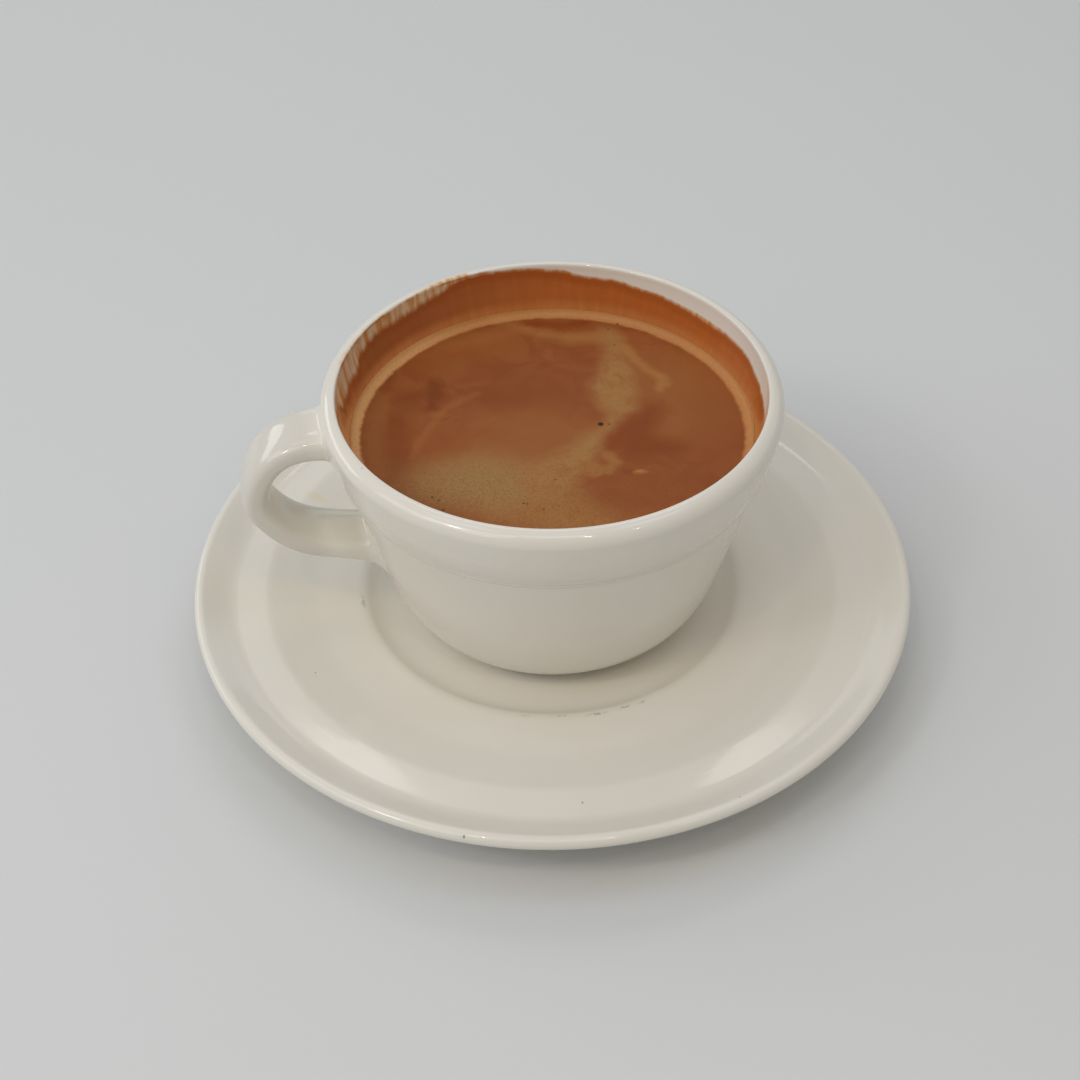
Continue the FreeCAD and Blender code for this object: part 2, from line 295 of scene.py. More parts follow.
def strap_points(t):
    """Points of the strap's surface; t has one row for each point round it."""
    ang = np.arange(NS) * 2 * math.pi / NS
    e = 2.0 / SQ
    ca, sa = np.cos(ang), np.sin(ang)
    w = np.sign(ca) * np.abs(ca) ** e
    h = np.sign(sa) * np.abs(sa) ** e
    fine = np.linspace(0, 1, 1201)
    c = bspline(H_LINE, fine)
    d = np.gradient(c, axis=0)
    d /= np.linalg.norm(d, axis=1)[:, None]
    cr_, cz_ = (np.interp(t, fine, c[:, i]) for i in (0, 1))
    dr_, dz_ = (np.interp(t, fine, d[:, i]) for i in (0, 1))
    root = np.clip(1.0 - t / 0.17, 0, None) ** 2 + np.clip(1.0 - (1.0 - t) / 0.20, 0, None) ** 2
    hw, ht = HW * (1 + 0.10 * root), HT * (1 + 0.32 * root)
    u2 = cr_ - dz_ * h[:, None] * ht
    v2 = cz_ + dr_ * h[:, None] * ht
    pts = u2[..., None] * H_DIR + v2[..., None] * UP + (w[:, None] * hw)[..., None] * H_TAN
    out = (-dz_ * h[:, None])[..., None] * H_DIR + (dr_ * h[:, None])[..., None] * UP \
        + np.broadcast_to(w[:, None] * HT / HW, t.shape)[..., None] * H_TAN
    # the superellipse's own normal, from its powers
    gx, gy = np.abs(w) ** (SQ - 1) * np.sign(w) / HW, np.abs(h) ** (SQ - 1) * np.sign(h) / HT
    out = (-dz_ * gy[:, None])[..., None] * H_DIR + (dr_ * gy[:, None])[..., None] * UP \
        + np.broadcast_to(gx[:, None], t.shape)[..., None] * H_TAN
    return pts, out / np.linalg.norm(out, axis=-1, keepdims=True)


grid = np.broadcast_to(np.linspace(0, 1, 901), (NS, 901))
pts, _ = strap_points(grid)
dist, _ = side_distance(pts)
t_in, t_out = np.zeros(NS), np.zeros(NS)
for j in range(NS):
    up = np.nonzero(dist[j] > 0)[0]
    i0, i1 = up[0], up[-1]
    for i, (m0, m1) in enumerate(((i0 - 1, i0), (i1, i1 + 1))):
        k = dist[j, m0] / (dist[j, m0] - dist[j, m1])
        tt = grid[j, m0] + k * (grid[j, m1] - grid[j, m0])
        if i == 0:
            t_in[j] = tt
        else:
            t_out[j] = tt
u = np.linspace(0, 1, NU + 1)
u = u - 0.93 * np.sin(2 * math.pi * u) / (2 * math.pi)
tgrid = t_in[:, None] + (t_out - t_in)[:, None] * u
pts, nrm = strap_points(tgrid)


def spread(pts, nrm, want, extra):
    """Fillet: points nearer to the bowl than the radius move out along its side."""
    half = np.arange(pts.shape[1]) < pts.shape[1] / 2
    rad = np.where(half, FILLET_TOP, FILLET_LOW)[None, :]
    _, nb = side_distance(pts)
    lat = nrm - (nrm * nb).sum(-1, keepdims=True) * nb
    lat /= np.maximum(np.linalg.norm(lat, axis=-1, keepdims=True), 1e-9)
    k = np.clip(rad - want, 0, rad)
    move = rad - np.sqrt(np.clip(rad ** 2 - k ** 2, 0, None)) + extra
    out = pts + lat * move[..., None]
    for _ in range(3):
        now, nb = side_distance(out)
        fix = np.where(k > 0, now - want, 0.0)
        out = out - nb * fix[..., None]
    return out


db, _ = side_distance(pts)
want = np.maximum(db, 0.0)
extra = np.zeros_like(want)
want[:, 0] = want[:, -1] = -0.035
extra[:, 0] = extra[:, -1] = 0.42
body = spread(pts, nrm, want, extra).transpose(1, 0, 2)
ends = []
for col, depth, ex in ((0, -0.45, 0.42), (-1, -0.45, 0.42)):
    e_ = spread(pts, nrm, np.where(np.arange(NU + 1)[None, :] == col % (NU + 1), depth, want),
                np.where(np.arange(NU + 1)[None, :] == col % (NU + 1), ex, extra))
    ends.append(e_[:, col])
strap = np.concatenate([ends[0][None], body, ends[1][None]])
rr, th = np.hypot(strap[..., 0], strap[..., 1]), np.arctan2(strap[..., 1], strap[..., 0])
grow = 1 + cup_wobble(th, strap[..., 2]) / rr
strap[..., 0] *= grow
strap[..., 1] *= grow
strap[..., 0] += CUP_X
n_r = len(strap)
base = len(cup_verts)
h_faces = []
for i in range(n_r - 1):
    for j in range(NS):
        k = (j + 1) % NS
        h_faces.append((base + i * NS + j, base + i * NS + k, base + (i + 1) * NS + k, base + (i + 1) * NS + j))
h_faces.append(tuple(base + j for j in range(NS)))
h_faces.append(tuple(base + (n_r - 1) * NS + j for j in reversed(range(NS))))
cup = new_mesh("cup_glazed", list(cup_verts) + [tuple(q) for q in strap.reshape(-1, 3)], list(cup_faces) + h_faces)
outward(cup)
rim_rings = {base + NS + j for j in range(NS)} | {base + (n_r - 2) * NS + j for j in range(NS)}
for e in cup.data.edges:
    if e.vertices[0] in rim_rings and e.vertices[1] in rim_rings:
        e.use_edge_sharp = True

# ------------------------------------------------------------------- coffee
coffee_top = chain(
    np.array([(0.0, LEVEL)]),
    seg((0.3, LEVEL), (wall_top[0] - MEN_W, LEVEL), 130),
    bez([(wall_top[0] - MEN_W, LEVEL), (wall_top[0] - 0.75, LEVEL + 0.03), (wall_top[0] - 0.28, LEVEL + 0.42),
         wall_top], 20))
coffee_prof = chain(coffee_top, smooth_through(low_pts, 40), np.array([(9.0, FLOOR_Z), (0.0, FLOOR_Z)]))
v, f = lathe_data(coffee_prof, 320, cx=CUP_X)
coffee = new_mesh("coffee_drink", v, f)
outward(coffee)


# ---------------------------------------------------------------- materials


class Nodes:
    """A small helper for building node trees."""

    def __init__(self, name):
        self.mat = bpy.data.materials.new(name)
        self.mat.use_nodes = True
        self.t = self.mat.node_tree
        self.t.nodes.clear()
        self.out = self.t.nodes.new("ShaderNodeOutputMaterial")
        self.b = self.t.nodes.new("ShaderNodeBsdfPrincipled")
        self.link(self.b.outputs[0], self.out.inputs[0])
        self.co = self.t.nodes.new("ShaderNodeTexCoord").outputs["Object"]

    def link(self, a, b):
        self.t.links.new(a, b)

    def put(self, sock, value):
        if isinstance(value, bpy.types.NodeSocket):
            self.link(value, sock)
        else:
            sock.default_value = value

    def math(self, op, a, b=0.0, c=0.0, clamp=False):
        n = self.t.nodes.new("ShaderNodeMath")
        n.operation = op
        n.use_clamp = clamp
        for s, x in zip(n.inputs, (a, b, c)):
            self.put(s, x)
        return n.outputs[0]

    def vec(self, op, a, b=(0, 0, 0)):
        n = self.t.nodes.new("ShaderNodeVectorMath")
        n.operation = op
        self.put(n.inputs[0], a)
        if op == "SCALE":
            self.put(n.inputs["Scale"], b)
        else:
            self.put(n.inputs[1], b)
        return n.outputs["Value"] if op in ("LENGTH", "DOT_PRODUCT", "DISTANCE") else n.outputs["Vector"]

    def sep(self, v):
        n = self.t.nodes.new("ShaderNodeSeparateXYZ")
        self.link(v, n.inputs[0])
        return n.outputs

    def parts(self, c):
        n = self.t.nodes.new("ShaderNodeSeparateColor")
        self.link(c, n.inputs[0])
        return n.outputs

    def comb(self, x, y, z):
        n = self.t.nodes.new("ShaderNodeCombineXYZ")
        for s, q in zip(n.inputs, (x, y, z)):
            self.put(s, q)
        return n.outputs[0]

    def noise(self, v, scale, detail=3.0, rough=0.5, dist=0.0):
        n = self.t.nodes.new("ShaderNodeTexNoise")
        self.link(v, n.inputs["Vector"])
        n.inputs["Scale"].default_value = scale
        n.inputs["Detail"].default_value = detail
        n.inputs["Roughness"].default_value = rough
        n.inputs["Distortion"].default_value = dist
        return n.outputs["Fac"], n.outputs["Color"]

    def remap(self, x, a, b, c=0.0, d=1.0, smooth=True):
        n = self.t.nodes.new("ShaderNodeMapRange")
        n.interpolation_type = "SMOOTHSTEP" if smooth else "LINEAR"
        self.put(n.inputs["Value"], x)
        for k, q in (("From Min", a), ("From Max", b), ("To Min", c), ("To Max", d)):
            self.put(n.inputs[k], q)
        return n.outputs["Result"]

    def mix(self, fac, a, b, blend="MIX"):
        n = self.t.nodes.new("ShaderNodeMix")
        n.data_type = "RGBA"
        n.blend_type = blend
        self.put(n.inputs["Factor"], fac)
        self.put(n.inputs[6], a if isinstance(a, bpy.types.NodeSocket) else (*a, 1.0))
        self.put(n.inputs[7], b if isinstance(b, bpy.types.NodeSocket) else (*b, 1.0))
        return n.outputs[2]

    def bump(self, height, strength, distance, normal=None):
        n = self.t.nodes.new("ShaderNodeBump")
        n.inputs["Strength"].default_value = strength
        n.inputs["Distance"].default_value = distance
        self.link(height, n.inputs["Height"])
        if normal is not None:
            self.link(normal, n.inputs["Normal"])
        return n.outputs[0]


def lin(r, g, b):
    """Linear values of an 8-bit display colour."""
    return tuple((v / 255 / 12.92) if v / 255 <= 0.04045 else ((v / 255 + 0.055) / 1.055) ** 2.4 for v in (r, g, b))


CREAM = (0.79, 0.755, 0.685)


def capsule(m, p, a, b, ra, rb):
    """Distance from a tapered stroke between two points, in millimetres."""
    ba = np.array(b, float) - np.array(a, float)
    l2 = max(float(ba @ ba), 1e-9)
    pa = m.vec("SUBTRACT", p, (*a, 0.0))
    h = m.math("ADD", m.vec("DOT_PRODUCT", pa, (ba[0] / l2, ba[1] / l2, 0.0)), 0.0, clamp=True)
    q = m.t.nodes.new("ShaderNodeVectorMath")
    q.operation = "SCALE"
    q.inputs[0].default_value = (ba[0], ba[1], 0.0)
    m.link(h, q.inputs["Scale"])
    d = m.vec("DISTANCE", pa, q.outputs[0])
    return m.math("SUBTRACT", d, m.math("MULTIPLY_ADD", h, rb - ra, ra))


def stroke(m, p, pts, blend=1.5):
    """A painted stroke through (x, y, radius) points."""
    out = None
    for a, b in zip(pts[:-1], pts[1:]):
        c = capsule(m, p, a[:2], b[:2], a[2], b[2])
        if out is None:
            out = c
        else:
            n = m.t.nodes.new("ShaderNodeMath")
            n.operation = "SMOOTH_MIN"
            m.link(out, n.inputs[0])
            m.link(c, n.inputs[1])
            n.inputs[2].default_value = blend
            out = n.outputs[0]
    return out


def blob(m, p, x, y, rx, ry, turn=0.0):
    """Roughly the distance from an ellipse, in millimetres."""
    q = m.vec("SUBTRACT", p, (x, y, 0.0))
    k = min(rx, ry)
    if abs(rx - ry) < 1e-9:
        return m.math("SUBTRACT", m.vec("LENGTH", q), k)
    c, s_ = math.cos(math.radians(turn)), math.sin(math.radians(turn))
    u_ = m.vec("DOT_PRODUCT", q, (c * k / rx, s_ * k / rx, 0.0))
    v_ = m.vec("DOT_PRODUCT", q, (-s_ * k / ry, c * k / ry, 0.0))
    return m.math("SUBTRACT", m.vec("LENGTH", m.comb(u_, v_, 0.0)), k)


def flat_mm(m, cx=0.0):
    """The object's own coordinates in millimetres about an upright axis, z zero."""
    mm = m.vec("SCALE", m.co, 1000.0)
    mm = m.vec("SUBTRACT", mm, (cx, 0.0, 0.0))
    return m.vec("MULTIPLY", mm, (1.0, 1.0, 0.0)), m.sep(mm)[2], mm


def warp(m, p, src, size, amount):
    """Push points about by a noise of the given grain, both in millimetres."""
    _, c = m.noise(src, 1.0 / size, 2.0, 0.55)
    c = m.parts(c)
    k = 2.0 * amount
    return m.vec("ADD", p, m.comb(m.math("MULTIPLY_ADD", c[0], k, -amount), m.math("MULTIPLY_ADD", c[1], k, -amount),
                                  0.0))


def paint(m, col, sdf, soft, colour, strength=1.0, grain=None):
    """Lay a colour over col inside a shape, with an edge this soft."""
    if isinstance(strength, bpy.types.NodeSocket):
        grain, strength = strength, 1.0
    k = m.remap(sdf, -soft, soft, strength, 0.0)
    if grain is not None:
        k = m.math("MULTIPLY", k, grain)
    return m.mix(k, col, colour)


# ---- saucer glaze: cream over pale clay, a little uneven
m = saucer_mat = Nodes("saucer_glaze")
flat, hz, mm = flat_mm(m)
rad = m.vec("LENGTH", flat)
f1, _ = m.noise(mm, 1 / 26.0, 2.0, 0.5)
col = m.mix(m.remap(f1, 0.3, 0.7), CREAM, (CREAM[0] * 0.985, CREAM[1] * 0.978, CREAM[2] * 0.965))
# glaze thins and warms a little on the crests; the shoulder slope is painted darker, partly its glaze tone and partly
# painted shade of the slope
shoulder_tone_and_shade = m.math("MULTIPLY", m.remap(rad, 52.0, 58.0), m.remap(rad, 63.9, 66.4, 1.0, 0.0))
col = m.mix(m.math("MULTIPLY", shoulder_tone_and_shade, 0.5), col, (CREAM[0] * 0.91, CREAM[1] * 0.90, CREAM[2] * 0.88))
crest = m.math("ABSOLUTE", m.math("SUBTRACT", rad, 43.4))
col = m.mix(m.remap(crest, 0.2, 2.6, 0.10, 0.0), col, (0.72, 0.675, 0.585))
# grey scuffs on the ridge where the cup has been set down
w1 = warp(m, flat, mm, 2.2, 0.9)
w2 = warp(m, flat, mm, 0.8, 0.35)
f2, _ = m.noise(mm, 1 / 0.7, 3.0, 0.6)
gr = m.remap(f2, 0.42, 0.60)
for x, y, rx, ry, turn, k in ((9.2, -43.1, 1.5, 0.28, 12, 0.9), (15.2, -41.3, 0.9, 0.26, 20, 0.9),
                              (-43.2, -7.6, 0.26, 1.5, 10, 0.75), (19.3, -39.9, 0.5, 0.22, 26, 0.7),
                              (1.8, -43.5, 1.6, 0.2, 3, 0.5), (-5.7, -43.4, 1.0, 0.2, -8, 0.4)):
    col = paint(m, col, blob(m, w2, x, y, rx, ry, turn), 0.35, (0.30, 0.29, 0.27), k, gr)
# pale yellow spot behind the handle, a few dark pinholes
col = paint(m, col, blob(m, w1, -56.9, 27.4, 2.2, 0.9, -25), 0.9, (0.73, 0.64, 0.42), 0.55)
for x, y, r in ((-18.0, -79.3, 0.20), (5.6, -68.8, 0.17), (37.1, -70.5, 0.14), (-52.0, -31.0, 0.13)):
    col = paint(m, col, blob(m, flat, x, y, r, r), 0.16, (0.10, 0.085, 0.07), 0.85)
m.link(col, m.b.inputs["Base Color"])
f3, _ = m.noise(mm, 1 / 9.0, 2.0, 0.5)
m.link(m.remap(f3, 0.3, 0.7, 0.085, 0.13), m.b.inputs["Roughness"])
m.b.inputs["IOR"].default_value = 1.52
rings_v = m.comb(rad, 0.0, 0.0)
f4, _ = m.noise(rings_v, 0.45, 2.0, 0.5)
f5, _ = m.noise(mm, 1 / 6.0, 1.0, 0.5)
hgt = m.math("ADD", m.math("MULTIPLY", f4, 1.0), m.math("MULTIPLY", f5, 0.7))
m.link(m.bump(hgt, 0.35, 0.00010), m.b.inputs["Normal"])

# ---- cup glaze, with the coffee's tide mark on its inner wall
m = cup_mat = Nodes("cup_glaze")
flat, hz, mm = flat_mm(m, CUP_X)
hz = m.math("SUBTRACT", hz, H)
rad = m.vec("LENGTH", flat)
sx = m.sep(flat)
az = m.math("ARCTAN2", sx[1], sx[0])
turn = m.math("FRACT", m.math("ADD", m.math("MULTIPLY", az, 1 / (2 * math.pi)), 1.0))
f1, _ = m.noise(mm, 1 / 20.0, 2.0, 0.5)
col = m.mix(m.remap(f1, 0.3, 0.7), CREAM, (CREAM[0] * 0.99, CREAM[1] * 0.98, CREAM[2] * 0.965))
# two darker lines: along the band's lower step and just below it
edge = m.math("ABSOLUTE", m.math("SUBTRACT", hz, BAND_Z - H - 0.6))
outside = m.math("MULTIPLY", m.remap(rad, 44.6, 45.2), m.remap(rad, 47.6, 48.4, 1.0, 0.0))
col = m.mix(m.math("MULTIPLY", m.remap(edge, 0.05, 0.5, 0.35, 0.0), outside), col, (0.62, 0.58, 0.50))
edge2 = m.math("ABSOLUTE", m.math("SUBTRACT", hz, BAND_Z - H - 1.75))
col = m.mix(m.math("MULTIPLY", m.remap(edge2, 0.03, 0.22, 0.28, 0.0), outside), col, (0.60, 0.56, 0.48))
# the handle is painted a little darker and greyer: painted shade
handle_painted_shade = m.mix(m.remap(f1, 0.3, 0.7), (CREAM[0] * 0.90, CREAM[1] * 0.90, CREAM[2] * 0.90),
             (CREAM[0] * 0.89, CREAM[1] * 0.88, CREAM[2] * 0.87))
col = m.mix(m.remap(rad, 49.0, 54.0), col, handle_painted_shade)


def by_turn(m, pts, lo, hi):
    """A value set round the wall: (degrees from +X, value) pairs, by a curve."""
    n = m.t.nodes.new("ShaderNodeFloatCurve")
    m.link(turn, n.inputs["Value"])
    c = n.mapping.curves[0]
    q = [(d / 360.0, (v - lo) / (hi - lo)) for d, v in pts]
    c.points[0].location, c.points[1].location = q[0], q[-1]
    for x, y in q[1:-1]:
        c.points.new(x, y)
    for k in c.points:
        k.handle_type = "AUTO_CLAMPED"
    n.mapping.update()
    return m.math("MULTIPLY_ADD", n.outputs[0], hi - lo, lo)


SOLID = [(0, 46.9), (10, 47.2), (20, 48.0), (30, 47.95), (37, 47.5), (44, 47.7), (54, 48.2), (64, 48.6), (70, 49.1),
         (80, 49.2), (87, 50.1), (95, 50.8), (104, 51.2), (114, 51.5), (122, 50.2), (129, 49.6), (134, 49.0),
         (150, 48.9), (158, 48.6), (163, 46.4), (168, 46.6), (176, 46.0), (181, 48.4), (187, 49.8), (195, 49.6),
         (215, 48.4), (240, 48.0), (270, 47.6), (300, 47.9), (330, 47.4), (345, 47.8), (360, 46.9)]
THIN = [(0, 47.2), (30, 48.2), (54, 48.5), (70, 49.3), (80, 49.5), (87, 50.6), (104, 51.6), (112, 52.0), (120, 52.6),
        (135, 52.1), (150, 52.0), (165, 52.2), (176, 51.4), (187, 50.6), (200, 50.0), (240, 48.4), (300, 48.3),
        (360, 47.2)]
solid = by_turn(m, SOLID, 40.0, 56.0)
thin = by_turn(m, THIN, 40.0, 56.0)
# streaks run down the wall: noise squeezed along the height
pole = m.comb(m.math("MULTIPLY", m.math("COSINE", az), 44.5), m.math("MULTIPLY", m.math("SINE", az), 44.5),
              m.math("MULTIPLY", hz, 0.16))
s1, _ = m.noise(pole, 1 / 1.9, 4.0, 0.60)
s2, _ = m.noise(pole, 1 / 5.0, 3.0, 0.55)
s3, _ = m.noise(mm, 1 / 1.6, 3.0, 0.55)
ragged = m.math("ADD", m.math("MULTIPLY", m.math("SUBTRACT", s1, 0.5), 2.6),
                m.math("MULTIPLY", m.math("SUBTRACT", s2, 0.5), 3.0))
ragged = m.math("ADD", ragged, m.math("MULTIPLY", m.math("SUBTRACT", s3, 0.5), 0.8))
calm = by_turn(m, [(0, 0.30), (90, 0.22), (118, 0.30), (132, 0.60), (190, 0.60), (220, 0.4), (360, 0.30)], 0.0, 1.0)
top_s = m.math("ADD", solid, m.math("MULTIPLY", ragged, calm))
top_t = m.math("ADD", thin, m.math("MULTIPLY", m.math("SUBTRACT", s2, 0.5), 1.1))
blur = m.math("MULTIPLY_ADD", calm, 1.0, 0.50)
k_s = m.remap(m.math("DIVIDE", m.math("SUBTRACT", hz, top_s), blur), -1.0, 0.8, 1.0, 0.0)
k_t = m.remap(m.math("SUBTRACT", hz, top_t), -0.5, 0.1, 1.0, 0.0)
k_t = m.math("MULTIPLY", k_t, m.remap(s1, 0.34, 0.58, 0.62, 1.0))
inside = m.math("MULTIPLY", m.remap(rad, 46.35, 46.9, 1.0, 0.0), m.remap(hz, 40.2, 40.8))
# stain colours: orange to the right and back, darker to the left, paler low down
stain = m.mix(m.remap(turn, 0.02, 0.14), lin(190, 106, 42), lin(183, 99, 42))
stain = m.mix(m.remap(turn, 0.16, 0.33), stain, lin(180, 104, 54))
# the left wall is painted paler: partly a thinner stain, partly painted light over its shade
left_stain_and_painted_light = m.math("MULTIPLY", m.remap(turn, 0.44, 0.52), m.remap(turn, 0.78, 0.97, 1.0, 0.0))
stain = m.mix(m.remap(turn, 0.70, 0.97), stain, lin(190, 106, 42))
stain = m.mix(left_stain_and_painted_light, stain, lin(214, 138, 74))
near_top = m.math("ABSOLUTE", m.math("ADD", m.math("SUBTRACT", hz, top_s), 1.1))
stain = m.mix(m.remap(near_top, 0.3, 1.9, 0.6, 0.0), stain, lin(166, 84, 30))
dark = m.math("MULTIPLY", m.remap(turn, 0.24, 0.37), m.remap(turn, 0.42, 0.465, 1.0, 0.0))
dark = m.math("MULTIPLY", dark, m.math("MULTIPLY", m.remap(hz, 42.0, 44.4), m.remap(hz, 47.4, 49.6, 1.0, 0.0)))
stain = m.mix(m.math("MULTIPLY", dark, 0.55), stain, lin(158, 92, 50))
# low down the stain is paler; on the left paler still, partly painted light
low = m.remap(hz, 41.4, 44.4, 0.75, 0.0)
stain = m.mix(low, stain, m.mix(m.math("MULTIPLY", m.remap(turn, 0.26, 0.42), m.remap(turn, 0.78, 0.97, 1.0, 0.0)),
                             lin(202, 132, 72), lin(226, 152, 90)))
stain = m.mix(m.remap(s1, 0.35, 0.70, 0.22, 0.0), stain, lin(152, 80, 36))
pale = m.mix(m.remap(s1, 0.35, 0.65), lin(224, 192, 146), lin(208, 148, 88))
col = m.mix(m.math("MULTIPLY", k_t, inside), col, pale)
col = m.mix(m.math("MULTIPLY", k_s, inside), col, stain)
# thin orange line at the lip's inner edge, back left
lipline = m.math("ABSOLUTE", m.math("SUBTRACT", hz, m.math("ADD", 51.55, m.math("MULTIPLY", m.math("SUBTRACT", s2, 0.5), 0.7))))
lk = m.math("MULTIPLY", m.remap(lipline, 0.05, 0.35, 0.75, 0.0),
            m.math("MULTIPLY", m.remap(turn, 0.285, 0.315), m.remap(turn, 0.47, 0.50, 1.0, 0.0)))
lk = m.math("MULTIPLY", lk, m.remap(s2, 0.40, 0.56))
col = m.mix(m.math("MULTIPLY", lk, inside), col, lin(168, 96, 44))
for x, y, r, c in ((-37.6 - CUP_X, -26.8, 0.16, (0.45, 0.25, 0.12)), (12.0, -48.0, 0.16, (0.55, 0.30, 0.18))):
    col = paint(m, col, m.math("ADD", blob(m, flat, x, y, r, r), m.remap(hz, 47.0, 48.0, 3.0, 0.0)), 0.16, c, 0.8)
m.link(col, m.b.inputs["Base Color"])
f3, _ = m.noise(mm, 1 / 9.0, 2.0, 0.5)
m.link(m.remap(f3, 0.3, 0.7, 0.075, 0.12), m.b.inputs["Roughness"])
m.b.inputs["IOR"].default_value = 1.52
# throwing lines: fine rings at uneven heights
ring_v = m.comb(0.0, 0.0, hz)
f4, _ = m.noise(ring_v, 1.5, 3.0, 0.6)
f5, _ = m.noise(mm, 1 / 7.0, 1.0, 0.5)
fine = m.math("ADD", m.math("MULTIPLY", f4, 0.5), m.math("MULTIPLY", f5, 0.9))
groove = m.math("ABSOLUTE", m.math("SUBTRACT", hz, BAND_Z - H - 2.1))
fine = m.math("SUBTRACT", fine, m.math("MULTIPLY", m.remap(groove, 0.03, 0.20, 1.0, 0.0),
                                       m.remap(rad, 47.6, 48.4, 0.9, 0.0)))
m.link(m.bump(fine, 0.30, 0.00010), m.b.inputs["Normal"])

# ---- coffee with its crema


def brew(r, g, b):
    c = lin(r, g, b)
    return c[0] * 1.02, c[1] * 1.02, c[2] * 0.80


m = coffee_mat = Nodes("coffee_crema")
flat, hz, mm = flat_mm(m, CUP_X)
p1 = warp(m, flat, mm, 9.0, 1.9)
p1 = warp(m, p1, mm, 2.8, 0.7)
p2 = warp(m, p1, mm, 1.0, 0.35)
soft1, _ = m.noise(mm, 1 / 8.0, 4.0, 0.6, 0.8)
soft2, _ = m.noise(mm, 1 / 3.0, 4.0, 0.62, 0.6)
grain, _ = m.noise(mm, 1 / 0.45, 3.0, 0.7)
RED, MID, TAN, OLIVE = brew(140, 74, 42), brew(150, 88, 52), brew(161, 114, 75), brew(157, 123, 84)
# the last colour below is the meniscus ring's, partly painted reflection
DARK, DEEP, MENISCUS_SHEEN = brew(130, 66, 34), brew(118, 58, 30), brew(206, 148, 102)
col = m.mix(m.remap(soft1, 0.34, 0.66), RED, MID)
# broad areas
col = paint(m, col, blob(m, p1, -5, 15, 15, 9, -10), 7.0, brew(140, 76, 44), 0.7)
col = paint(m, col, blob(m, p1, 30, 12, 13, 18, 10), 6.0, brew(150, 92, 54), 0.8)
col = paint(m, col, blob(m, p1, 36, -2, 6, 14, 5), 4.0, brew(142, 80, 44), 0.6)
col = paint(m, col, blob(m, p1, -2, -3, 13, 9, -20), 6.0, brew(152, 94, 56), 0.8)
col = paint(m, col, blob(m, p1, -22, 29, 17, 5, 16), 3.5, brew(148, 86, 44), 0.65)
col = paint(m, col, blob(m, p1, -17, 34, 11, 2.6, 20), 2.5, brew(160, 102, 62), 0.6)
col = paint(m, col, blob(m, p1, -27, -8, 8, 10, 25), 5.0, brew(148, 82, 44), 0.7)
col = paint(m, col, stroke(m, p1, [(-33, 12, 2.4), (-33.5, 0, 3.0), (-31, -12, 2.4)]), 2.6, DARK, 0.55)
col = paint(m, col, stroke(m, p1, [(-38, 12, 2.0), (-39, -2, 2.4), (-36.5, -14, 2.0)]), 2.0, brew(158, 100, 60), 0.7)
# foam at the front left, running on along the front
foam = stroke(m, p1, [(-24, -19, 5.5), (-15, -17, 8.5), (-8, -22, 9.0), (-1, -26, 8.0), (8, -31, 5.0)], 4.0)
col = paint(m, col, foam, 6.5, TAN, 0.95)
col = paint(m, col, blob(m, p1, -16, -18, 12, 6.5, -8), 6.0, OLIVE, 0.9)
col = paint(m, col, stroke(m, p1, [(-5, -27, 3.0), (3, -24, 2.2), (8, -29, 3.0)]), 3.5, brew(158, 106, 62), 0.6)
# wisps and smudges
col = paint(m, col, stroke(m, p1, [(-26.5, 17, 1.6), (-26.2, 12, 2.0), (-26.8, 8, 1.2)]), 1.6, DEEP, 0.75)
col = paint(m, col, blob(m, p1, -30.5, 11, 1.8, 3.6, 0), 1.8, DARK, 0.5)
col = paint(m, col, blob(m, p1, -9, 11.5, 9, 3.0, 8), 3.0, brew(132, 70, 40), 0.5)
col = paint(m, col, stroke(m, p2, [(-16, 12.5, 0.5), (-21, 9.5, 0.7), (-25.5, 5.0, 0.9), (-27.5, -3, 0.8),
                                   (-30, -9, 0.5)]), 1.0, brew(162, 100, 60), 0.6)
col = paint(m, col, stroke(m, p1, [(-12, 41, 0.8), (-8, 38.6, 1.0), (-2, 34.8, 1.4), (5, 33, 1.8), (14, 33.4, 2.4)]), 2.0,
            brew(166, 112, 68), 0.75)
col = paint(m, col, stroke(m, p1, [(-5, 39.6, 1.2), (2, 38.3, 1.7), (8, 39.4, 1.2)]), 1.2, brew(136, 66, 32), 0.85)
# the dark side of the streak
col = paint(m, col, stroke(m, p1, [(22, 6, 2.5), (18, 0, 4.0), (19, -6, 4.5), (26, -7, 3.0)], 3.0), 3.5, DARK, 0.9)
col = paint(m, col, stroke(m, p2, [(17.5, 9, 0.8), (14.8, 1.5, 1.6), (13.0, -5.0, 2.4)], 1.5), 1.2, brew(134, 66, 32), 0.8)
col = paint(m, col, blob(m, p1, 22, -19, 12, 6, 12), 5.0, brew(138, 78, 42), 0.6)
# the streak itself, and its curl
streak = stroke(m, p2, [(13.2, 35, 1.6), (14.4, 28, 2.2), (14.9, 20.5, 3.8), (14.2, 14.0, 5.3),
                        (14.2, 9.0, 3.8), (13.8, 4.6, 1.6), (12.2, 1.2, 1.3), (9.6, -2.0, 1.7), (7.4, -6.2, 3.1),
                        (3.6, -11.0, 4.6), (-1.0, -16.0, 5.5)], 1.2)
col = paint(m, col, streak, 2.4, TAN, m.remap(soft2, 0.30, 0.58, 0.62, 0.98))
core = m.remap(soft2, 0.40, 0.64)
col = paint(m, col, m.math("ADD", streak, 1.6), 1.6, brew(164, 122, 78), 0.55, core)
col = paint(m, col, stroke(m, p2, [(12, -9.8, 1.4), (13.6, -11.6, 1.4), (12.0, -14.2, 1.2), (9, -14, 2.0)], 1.0), 0.9,
            brew(160, 110, 68), 0.8)
p3 = warp(m, flat, mm, 3.2, 0.6)
curl = stroke(m, p3, [(17.2, 29, 1.5), (19.0, 24.6, 1.2), (21.6, 20.8, 1.0), (24.6, 17.8, 1.1), (24.9, 15.6, 1.2),
                      (23.8, 13.6, 1.0)], 1.0)
col = paint(m, col, curl, 1.1, brew(168, 116, 72), 0.8)
